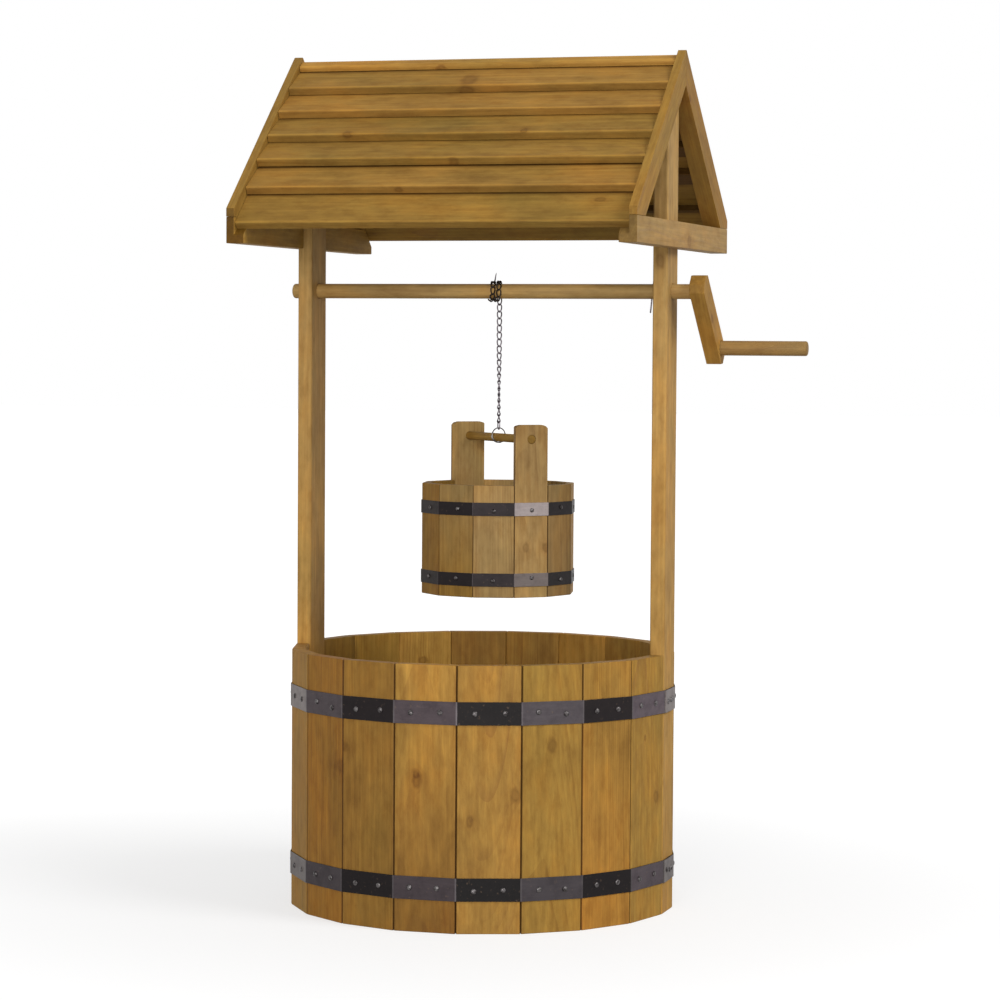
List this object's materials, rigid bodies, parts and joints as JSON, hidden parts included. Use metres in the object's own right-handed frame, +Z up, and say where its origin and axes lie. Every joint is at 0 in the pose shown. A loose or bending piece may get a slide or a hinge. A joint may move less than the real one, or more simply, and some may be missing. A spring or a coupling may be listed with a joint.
{
  "type": "wishing well planter",
  "caption": "Coopered wooden tub planter with two posts, a lapped-board gable roof, and a crank windlass whose chain raises and lowers a small hanging bucket.",
  "frame": {"origin": "on the tub's axis at ground level, in the middle of the floor bearer's underside", "axes": "+Z up, +X along the roller towards the crank, +Y to the back; the front is the side that the picture shows, turned slightly to its crank end"},
  "size_m": [0.6856, 0.5064, 1.1226],
  "materials": {
    "stave_wood": "brown stained softwood, weathered, open grain",
    "frame_wood": "light brown stained softwood, sanded",
    "roof_wood": "brown stained softwood, planed",
    "floor_wood": "rough unstained softwood",
    "band_steel": "dark strip steel with a dull sheen",
    "chain_steel": "plated wire steel"
  },
  "bodies": {
    "frame": {"tub_stave_1": "stave_wood", "tub_stave_2": "stave_wood", "tub_stave_3": "stave_wood", "tub_stave_4": "stave_wood", "tub_stave_5": "stave_wood", "tub_stave_6": "stave_wood", "tub_stave_7": "stave_wood", "tub_stave_8": "stave_wood", "tub_stave_9": "stave_wood", "tub_stave_10": "stave_wood", "tub_stave_11": "stave_wood", "tub_stave_12": "stave_wood", "tub_stave_13": "stave_wood", "tub_stave_14": "stave_wood", "tub_stave_15": "stave_wood", "tub_stave_16": "stave_wood", "tub_stave_17": "stave_wood", "tub_stave_18": "stave_wood", "post_right": "frame_wood", "post_left": "frame_wood", "tub_band_lower": "band_steel", "tub_band_upper": "band_steel", "floor_bearer": "floor_wood", "floor_panel_front": "floor_wood", "floor_panel_back": "floor_wood", "roof_board_front_1": "roof_wood", "roof_board_front_2": "roof_wood", "roof_board_front_3": "roof_wood", "roof_board_front_4": "roof_wood", "roof_board_front_5": "roof_wood", "roof_board_front_6": "roof_wood", "roof_board_back_1": "roof_wood", "roof_board_back_2": "roof_wood", "roof_board_back_3": "roof_wood", "roof_board_back_4": "roof_wood", "roof_board_back_5": "roof_wood", "roof_board_back_6": "roof_wood", "rafter_right_front": "frame_wood", "rafter_left_front": "frame_wood", "rafter_right_back": "frame_wood", "rafter_left_back": "frame_wood", "ridge_cap": "roof_wood", "gable_tie_right": "frame_wood", "gable_tie_left": "frame_wood"},
    "windlass": {"roller": "roof_wood", "crank_arm": "roof_wood", "crank_handle": "roof_wood", "wound_chain": "chain_steel"},
    "chain": {"hanging_chain": "chain_steel"},
    "chain_low": {"swivel_chain": "chain_steel"},
    "chain_end": {"chain_end_link": "chain_steel"},
    "ring": {"bucket_ring": "chain_steel"},
    "bucket": {"bucket_dowel": "frame_wood", "bucket_handle_stave_front": "stave_wood", "bucket_handle_stave_back": "stave_wood", "bucket_staves_right": "stave_wood", "bucket_staves_left": "stave_wood", "bucket_bottom": "floor_wood", "bucket_band_lower": "band_steel", "bucket_band_upper": "band_steel"}
  },
  "joints": [
    {"name": "windlass_turn", "type": "hinge", "parent": "frame", "child": "windlass", "pos_m": [0, 0, 0.8105], "axis": [1, 0, 0], "range_deg": [-450, 360]},
    {"name": "chain_swing", "type": "hinge", "parent": "frame", "child": "chain", "pos_m": [0.0152, 0.0126, 0.8115], "axis": [1, 0, 0], "range_deg": [-8, 8]},
    {"name": "bucket_lift", "type": "slide", "parent": "chain", "child": "chain_low", "axis": [0, 0, 1], "range_m": [-0.1, 0.08], "deforming": ["hanging_chain"]},
    {"name": "bucket_spin", "type": "hinge", "parent": "chain_low", "child": "chain_end", "pos_m": [0.0152, 0.0126, 0.637], "axis": [0, 0, 1], "range_deg": [-180, 180], "deforming": ["swivel_chain"]},
    {"name": "ring_sway", "type": "hinge", "parent": "chain_end", "child": "ring", "pos_m": [0.0152, 0.0126, 0.63], "axis": [0.7408, 0.6717, 0], "range_deg": [-8, 8]},
    {"name": "bucket_tilt", "type": "hinge", "parent": "ring", "child": "bucket", "pos_m": [0.0152, 0.0126, 0.6173], "axis": [0.6717, -0.7408, 0], "range_deg": [-40, 40]}
  ],
  "couplings": [
    {"joint": "bucket_lift", "follows": "windlass_turn", "m_per_rad": 0.0126}
  ]
}
